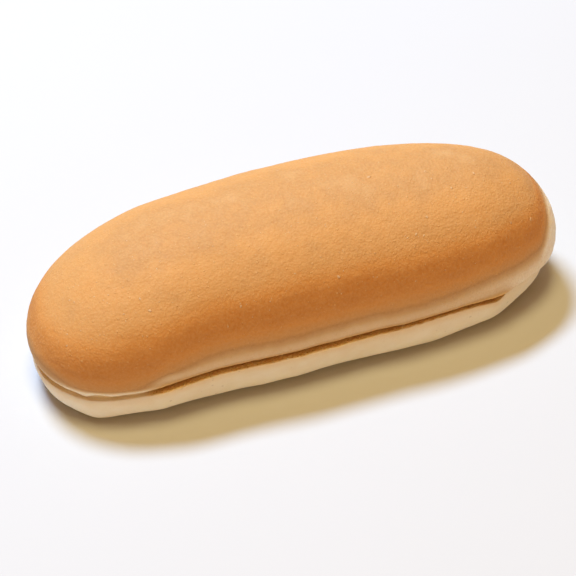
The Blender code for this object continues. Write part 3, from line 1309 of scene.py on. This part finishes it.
@dataclass(frozen=True)
class Effects:
    """Node groups that more than one of the roll's materials use, each built once."""

    wrinkle_detail: float = 3.0
    wrinkle_roughness: float = 0.62
    pore_density: float = 1.3
    pore_smoothness: float = 0.6
    mottle_density: float = 0.3
    mottle_detail: float = 4.0
    speck_reach: float = 0.14
    speck_reach_change: float = 0.22
    speck_sharpness: float = 14.0
    oven_mottle: float = 0.06
    oven_colours: tuple[tuple[float, Colour], ...] = (
        (0.0, (0.92, 0.86, 0.71)),
        (0.10, (0.84, 0.71, 0.50)),
        (0.20, (0.70, 0.51, 0.30)),
        (0.35, (0.56, 0.34, 0.15)),
        (0.50, (0.44, 0.218, 0.074)),
        (0.60, (0.53, 0.258, 0.080)),
        (0.85, (0.55, 0.228, 0.051)),
        (1.0, (0.48, 0.182, 0.034)),
    )
    # Painted bounce glow at the slice's mouth, then painted deep shade inside it.
    bounce_amber: Colour = (0.80, 0.48, 0.16)
    slit_shade_deep: Colour = (0.40, 0.14, 0.02)

    def group(
        self,
        name: str,
        inputs: dict[str, str],
        outputs: dict[str, str],
        fill: Callable[[Wiring, dict, dict], None],
    ) -> bpy.types.NodeTree:
        """Find a node group, or build it when it is first asked for.

        Args:
            name: Its name.
            inputs: Kind of each input socket by name.
            outputs: Kind of each output socket by name.
            fill: Method that wires its inside.

        Returns:
            The node group.
        """
        if name in bpy.data.node_groups:
            return bpy.data.node_groups[name]
        tree = bpy.data.node_groups.new(name, "ShaderNodeTree")
        for direction, sockets in (("INPUT", inputs), ("OUTPUT", outputs)):
            for socket, kind in sockets.items():
                tree.interface.new_socket(socket, in_out=direction, socket_type="NodeSocket" + kind)
        source = tree.nodes.new("NodeGroupInput")
        sink = tree.nodes.new("NodeGroupOutput")
        fill(Wiring(tree), source.outputs, sink.inputs)
        return tree

    def grain(self) -> bpy.types.NodeTree:
        """Give the baked grain: wrinkles and pores as height, and a soft mottle."""
        inputs = {"Place": "Vector", "Size": "Float", "Pores": "Float"}
        return self.group("baked_grain", inputs, {"Height": "Float", "Mottle": "Float"}, self.fill_grain)

    def fill_grain(self, wiring: Wiring, source: dict, sink: dict) -> None:
        """Wire the baked grain.

        Args:
            wiring: Wiring of the group.
            source: Its inputs.
            sink: Its outputs.
        """
        scale = wiring.math("DIVIDE", 1.0, source["Size"])
        wrinkle = wiring.noise(source["Place"], scale, self.wrinkle_detail)
        wiring.feed(wrinkle.node.inputs["Roughness"], self.wrinkle_roughness)
        pore = wiring.node("TexVoronoi", feature="SMOOTH_F1")
        wiring.feed(pore.inputs["Vector"], source["Place"])
        wiring.feed(pore.inputs["Scale"], wiring.math("MULTIPLY", scale, self.pore_density))
        wiring.feed(pore.inputs["Smoothness"], self.pore_smoothness)
        pits = wiring.math("MULTIPLY", pore.outputs["Distance"], source["Pores"])
        wiring.feed(sink["Height"], wiring.math("SUBTRACT", wrinkle, pits))
        cloud_scale = wiring.math("MULTIPLY", scale, self.mottle_density)
        mottle = wiring.noise(source["Place"], cloud_scale, self.mottle_detail)
        wiring.feed(sink["Mottle"], wiring.math("SUBTRACT", mottle, 0.5))

    def specks(self) -> bpy.types.NodeTree:
        """Give scattered small round marks, in some cells of a pattern and not in most."""
        inputs = {"Place": "Vector", "Size": "Float", "Amount": "Float"}
        return self.group("scattered_specks", inputs, {"Mask": "Float"}, self.fill_specks)

    def fill_specks(self, wiring: Wiring, source: dict, sink: dict) -> None:
        """Wire the scattered marks.

        Args:
            wiring: Wiring of the group.
            source: Its inputs.
            sink: Its outputs.
        """
        cells = wiring.node("TexVoronoi", feature="F1")
        wiring.feed(cells.inputs["Vector"], source["Place"])
        wiring.feed(cells.inputs["Scale"], wiring.math("DIVIDE", 1.0, source["Size"]))
        split = wiring.node("SeparateColor")
        wiring.feed(split.inputs[0], cells.outputs["Color"])
        chosen = wiring.math("LESS_THAN", split.outputs["Red"], source["Amount"])
        reach = wiring.math("MULTIPLY_ADD", split.outputs["Green"], self.speck_reach_change, self.speck_reach)
        edge = wiring.math("SUBTRACT", reach, cells.outputs["Distance"])
        soft = wiring.clamped("MULTIPLY", edge, self.speck_sharpness)
        wiring.feed(sink["Mask"], wiring.math("MULTIPLY", soft, chosen))

    def oven_colour(self) -> bpy.types.NodeTree:
        """Give the colour of skin by how brown it is baked."""
        inputs = {"Browning": "Float", "Mottle": "Float"}
        return self.group("oven_colour", inputs, {"Colour": "Color"}, self.fill_oven_colour)

    def fill_oven_colour(self, wiring: Wiring, source: dict, sink: dict) -> None:
        """Wire the colours of baking: the mottle shifts the browning a little."""
        shifted = wiring.math("MULTIPLY_ADD", source["Mottle"], self.oven_mottle, source["Browning"])
        wiring.feed(sink["Colour"], wiring.ramp(shifted, self.oven_colours))

    def glow(self) -> bpy.types.NodeTree:
        """Give the painted shade of the slice: amber bounce glow at its mouth, then deep brown shade further
        in.
        """
        inputs = {"Colour": "Color", "Warmth": "Float"}
        return self.group("painted_slice_shade", inputs, {"Colour": "Color"}, self.fill_slice_shade)

    def fill_slice_shade(self, wiring: Wiring, source: dict, sink: dict) -> None:
        """Wire the painted shade of the slice.

        Args:
            wiring: Wiring of the group.
            source: Its inputs.
            sink: Its outputs.
        """
        early = wiring.clamped("MULTIPLY", source["Warmth"], 2.0)
        late = wiring.clamped("MULTIPLY_ADD", source["Warmth"], 2.0, -1.0)
        amber = wiring.mix(early, source["Colour"], self.bounce_amber)
        wiring.feed(sink["Colour"], wiring.mix(late, amber, self.slit_shade_deep))


EFFECTS = Effects()


def started(name: str) -> tuple[bpy.types.Material, Wiring, bpy.types.Node, bpy.types.NodeSocket]:
    """Start a material.

    Args:
        name: Its name.

    Returns:
        The material, its wiring, its shader and its object coordinates.
    """
    material = bpy.data.materials.new(name)
    material.use_nodes = True
    wiring = Wiring(material.node_tree)
    shader = material.node_tree.nodes["Principled BSDF"]
    return material, wiring, shader, wiring.node("TexCoord").outputs["Object"]


@dataclass(frozen=True)
class Finish:
    """What every bread skin has: grain, marks, roughness and a soft body under the surface."""

    name: str = "skin"
    roughness: float = 0.5
    roughness_change: float = 0.12
    grain_size: float = 0.9
    pores: float = 0.5
    mark_size: float = 1.0
    mark_amount: float = 0.0
    bump: float = 0.19
    bump_strength: float = 0.8
    subsurface: float = 0.06
    subsurface_radius: Colour = (1.0, 0.45, 0.2)
    subsurface_reach: float = 1.2
    specular: float = 0.2

    def material(self) -> bpy.types.Material:
        """Make the material.

        Returns:
            The material.
        """
        material, wiring, shader, place = started(self.name)
        shader.inputs["Subsurface Weight"].default_value = self.subsurface
        shader.inputs["Subsurface Radius"].default_value = self.subsurface_radius
        shader.inputs["Subsurface Scale"].default_value = self.subsurface_reach * MM
        shader.inputs["Specular IOR Level"].default_value = self.specular
        grain = wiring.group(EFFECTS.grain(), place=place, size=self.grain_size * MM, pores=self.pores)
        marks = 0.0
        if self.mark_amount:
            size = self.mark_size * MM
            specks = wiring.group(EFFECTS.specks(), place=place, size=size, amount=self.mark_amount)
            marks = specks.outputs["Mask"]
        wiring.feed(shader.inputs["Base Color"], self.colour(wiring, grain, marks))
        mottle = grain.outputs["Mottle"]
        rough = wiring.math("MULTIPLY_ADD", mottle, self.roughness_change, self.roughness)
        wiring.feed(shader.inputs["Roughness"], rough)
        bump = wiring.node("Bump")
        wiring.feed(bump.inputs["Strength"], self.bump_strength)
        wiring.feed(bump.inputs["Distance"], self.bump * MM)
        wiring.feed(bump.inputs["Height"], self.height(wiring, grain, marks))
        wiring.feed(shader.inputs["Normal"], bump.outputs["Normal"])
        return material

    def colour(self, wiring: Wiring, grain: bpy.types.Node, marks: Input) -> bpy.types.NodeSocket:
        """Give the skin's colour, which each finish does in its own way."""
        raise NotImplementedError

    def height(self, wiring: Wiring, grain: bpy.types.Node, marks: Input) -> bpy.types.NodeSocket:
        """Give the height of the fine relief, as a share of the bump."""
        return grain.outputs["Height"]

    def slice_shaded(self, wiring: Wiring, colour: Input, warmth: Input) -> bpy.types.NodeSocket:
        """Darken and warm a colour towards the slice with its painted shade and bounce glow."""
        return wiring.group(EFFECTS.glow(), colour=colour, warmth=warmth).outputs["Colour"]


@dataclass(frozen=True)
class CrustFinish(Finish):
    """Browned crust with fine wrinkles, faint mottling and pale flecks."""

    name: str = "golden_crust"
    roughness: float = 0.72
    mark: Colour = (0.66, 0.37, 0.145)
    mark_size: float = 1.1
    mark_amount: float = 0.16
    mark_share: float = 0.3
    mark_height: float = 0.6
    dusting: float = 0.55
    right_grain: float = 0.25

    def colour(self, wiring: Wiring, grain: bpy.types.Node, marks: Input) -> bpy.types.NodeSocket:
        """Brown the skin, then dust it and mark it, and lay the slice's painted shade over it.

        Args:
            wiring: Wiring of the material.
            grain: Its grain.
            marks: Mask of its marks.

        Returns:
            The colour.
        """
        browning = wiring.attribute("browning")
        oven = wiring.group(EFFECTS.oven_colour(), browning=browning, mottle=grain.outputs["Mottle"])
        dust = wiring.math("MULTIPLY", grain.outputs["Height"], self.dusting)
        share = wiring.clamped("MULTIPLY_ADD", marks, self.mark_share, dust)
        marked = wiring.mix(share, oven.outputs["Colour"], self.mark)
        return self.slice_shaded(wiring, marked, wiring.attribute("warmth"))

    def height(self, wiring: Wiring, grain: bpy.types.Node, marks: Input) -> bpy.types.NodeSocket:
        """Give the grain, stronger towards the right end, with the marks standing out.

        Args:
            wiring: Wiring of the material.
            grain: Its grain.
            marks: Mask of its marks.

        Returns:
            The height.
        """
        gain = wiring.math("MULTIPLY_ADD", wiring.attribute("grain"), self.right_grain, 1.0)
        height = wiring.math("MULTIPLY", grain.outputs["Height"], gain)
        return wiring.math("MULTIPLY_ADD", marks, self.mark_height, height)


@dataclass(frozen=True)
class BaseFinish(CrustFinish):
    """Pale skin of the base, matt and undusted, with a few grey-brown marks."""

    name: str = "pale_base"
    roughness: float = 0.7
    grain_size: float = 1.1
    pores: float = 0.3
    bump: float = 0.16
    mark: Colour = (0.50, 0.40, 0.27)
    mark_size: float = 1.6
    mark_amount: float = 0.05
    mark_share: float = 0.4
    mark_height: float = 0.0
    dusting: float = 0.0
    right_grain: float = 0.0


@dataclass(frozen=True)
class CrumbFinish(Finish):
    """Torn crumb: pale, open and rough, turning amber and darker towards the slice with painted shade and
    bounce glow.
    """

    name: str = "torn_crumb"
    roughness: float = 0.85
    grain_size: float = 0.7
    pores: float = 1.2
    bump: float = 0.3
    bump_strength: float = 0.9
    subsurface: float = 0.12
    crumb: Colour = (0.86, 0.70, 0.40)
    # Darker pits: painted shade in the crumb's sunk holes.
    mark: Colour = (0.60, 0.38, 0.14)
    mark_size: float = 0.8
    mark_amount: float = 0.3
    slice_shade_change: float = 0.5

    def colour(self, wiring: Wiring, grain: bpy.types.Node, marks: Input) -> bpy.types.NodeSocket:
        """Darken the crumb in its pits with painted shade, and lay the slice's painted shade over it
        unevenly.

        Args:
            wiring: Wiring of the material.
            grain: Its grain.
            marks: Mask of its pits.

        Returns:
            The colour.
        """
        warmth = wiring.attribute("warmth")
        uneven = wiring.math("MULTIPLY_ADD", grain.outputs["Mottle"], self.slice_shade_change, warmth)
        return self.slice_shaded(wiring, wiring.mix(marks, self.crumb, self.mark), uneven)

    def height(self, wiring: Wiring, grain: bpy.types.Node, marks: Input) -> bpy.types.NodeSocket:
        """Give the grain with the pits sunk into it."""
        return wiring.math("SUBTRACT", grain.outputs["Height"], marks)


@dataclass(frozen=True)
class FleckFinish(Finish):
    """Dried dough flecks, a shade paler than the crust that they sit on."""

    name: str = "pale_fleck"
    roughness: float = 0.6
    pale: Colour = (0.60, 0.37, 0.19)
    tan: Colour = (0.50, 0.27, 0.11)
    contrast: float = 2.0

    def colour(self, wiring: Wiring, grain: bpy.types.Node, marks: Input) -> bpy.types.NodeSocket:
        """Change softly between a pale and a tan dough."""
        share = wiring.math("MULTIPLY_ADD", grain.outputs["Mottle"], self.contrast, 0.5)
        return wiring.mix(share, self.pale, self.tan)


@dataclass(frozen=True)
class FloorFinish:
    """Plain pale floor with the faintest unevenness."""

    name: str = "pale_floor"
    light: Colour = (0.55, 0.55, 0.55)
    shade: Colour = (0.543, 0.543, 0.543)
    size: float = 0.12
    detail: float = 2.0
    roughness: float = 0.7

    def material(self) -> bpy.types.Material:
        """Make the material.

        Returns:
            The material.
        """
        material, wiring, shader, place = started(self.name)
        cloud = wiring.noise(place, 1.0 / self.size, self.detail)
        wiring.feed(shader.inputs["Base Color"], wiring.mix(cloud, self.light, self.shade))
        shader.inputs["Roughness"].default_value = self.roughness
        shader.inputs["Specular IOR Level"].default_value = 0.0
        return material


def direction(azimuth: float, elevation: float) -> Vector:
    """Point from the roll towards a lamp or the camera.

    Args:
        azimuth: Degrees round from the sliced side, towards the right end.
        elevation: Degrees above the floor.

    Returns:
        The direction, of length 1.
    """
    turn = math.radians(azimuth)
    tilt = math.radians(elevation)
    return Vector((math.sin(turn) * math.cos(tilt), -math.cos(turn) * math.cos(tilt), math.sin(tilt)))


@dataclass(frozen=True)
class Lamp:
    """A soft light aimed at the roll."""

    name: str
    azimuth: float
    elevation: float
    distance: float
    size: tuple[float, float]
    power: float
    colour: Colour

    def build(self, target: Vector) -> bpy.types.Object:
        """Hang the lamp.

        Args:
            target: Point that it is aimed at.

        Returns:
            The lamp's object.
        """
        data = bpy.data.lights.new(self.name, "AREA")
        data.shape = "ELLIPSE"
        data.size, data.size_y = self.size
        data.energy = self.power
        data.color = self.colour
        lamp = bpy.data.objects.new(self.name, data)
        lamp.location = target + direction(self.azimuth, self.elevation) * self.distance
        lamp.rotation_euler = (target - lamp.location).to_track_quat("-Z", "Y").to_euler()
        lamp.visible_camera = False
        bpy.context.scene.collection.objects.link(lamp)
        return lamp


@dataclass(frozen=True)
class Studio:
    """Pale floor, soft lights and the camera."""

    azimuth: float = -19.61
    elevation: float = 43.74
    distance: float = 0.60884
    look_height: float = 0.020
    aim_right: float = -6.99
    aim_up: float = -19.08
    pixels_per_metre: float = 3340.0
    sensor: float = 36.0
    floor_size: float = 6.0
    floor_drop: float = 0.00002
    lamps: tuple[Lamp, ...] = (
        Lamp("key_light", 200.5, 64.6, 1.5, (0.56, 0.24), 37.5, (0.543, 0.725, 1.0)),
        Lamp("top_light", 315.0, 87.0, 1.5, (0.47, 0.47), 13.3, (1.0, 0.83, 0.42)),
        Lamp("front_fill", -8.0, 2.6, 1.5, (1.4, 0.1), 3.6, (1.0, 0.82, 0.52)),
    )
    ambient: Colour = (0.37, 0.18, 0.055)
    backdrop: Colour = (0.96, 0.96, 0.96)

    def build_floor(self, finish: FloorFinish) -> bpy.types.Object:
        """Lay the floor.

        Args:
            finish: Its finish.

        Returns:
            The floor's object.
        """
        mesh = bmesh.new()
        bmesh.ops.create_grid(mesh, x_segments=1, y_segments=1, size=self.floor_size / 2)
        bmesh.ops.translate(mesh, verts=mesh.verts[:], vec=(0, 0, -self.floor_drop))
        floor = finished(mesh, "floor")
        floor.data.materials.append(finish.material())
        return floor

    def build_lights(self) -> None:
        """Hang the lamps and set the ambient light."""
        for lamp in self.lamps:
            lamp.build(Vector((0, 0, self.look_height)))
        world = bpy.data.worlds.new("studio")
        world.use_nodes = True
        tree = world.node_tree
        wiring = Wiring(tree)
        glow = tree.nodes["Background"]
        wiring.feed(glow.inputs["Color"], self.ambient)
        backdrop = wiring.node("Background")
        wiring.feed(backdrop.inputs["Color"], self.backdrop)
        both = wiring.node("MixShader")
        wiring.feed(both.inputs[0], wiring.node("LightPath").outputs["Is Camera Ray"])
        wiring.feed(both.inputs[1], glow.outputs[0])
        wiring.feed(both.inputs[2], backdrop.outputs[0])
        wiring.feed(tree.nodes["World Output"].inputs["Surface"], both.outputs[0])
        bpy.context.scene.world = world

    def build_camera(self, centre: Vector) -> bpy.types.Object:
        """Set up the camera at the photograph's angle.

        Args:
            centre: Point of the floor that the view is laid out from.

        Returns:
            The camera's object.
        """
        turn = math.radians(self.azimuth)
        back = direction(self.azimuth, self.elevation)
        right = Vector((math.cos(turn), math.sin(turn), 0.0))
        up = back.cross(right)
        target = Vector((centre.x, centre.y, self.look_height))
        aim = target + (right * self.aim_right + up * self.aim_up) / self.pixels_per_metre
        data = bpy.data.cameras.new("camera")
        data.sensor_width = self.sensor
        data.lens = self.sensor * self.pixels_per_metre * self.distance / PHOTO_SIDE
        camera = bpy.data.objects.new("camera", data)
        camera.location = target + back * self.distance
        camera.rotation_euler = (aim - camera.location).to_track_quat("-Z", "Y").to_euler()
        bpy.context.scene.collection.objects.link(camera)
        bpy.context.scene.camera = camera
        return camera

    def develop(self) -> None:
        """Show colours as they are, without a film look."""
        bpy.context.scene.view_settings.view_transform = "Standard"


def main() -> None:
    """Build and dress the roll, then the studio round it."""
    logging.basicConfig(level=logging.INFO, format="%(message)s")
    roll = HoagieRoll()
    piece = roll.build()
    roll.dress()
    LOG.info("%s: %d faces", piece.name, len(piece.data.polygons))
    for extra in (TornCrumbs(roll), CrustFlecks(roll)):
        piece = extra.build()
        LOG.info("%s: %d faces", piece.name, len(piece.data.polygons))
    studio = Studio()
    studio.build_floor(FloorFinish())
    studio.build_lights()
    studio.build_camera(roll.shift)
    studio.develop()


if __name__ == "__main__":
    main()
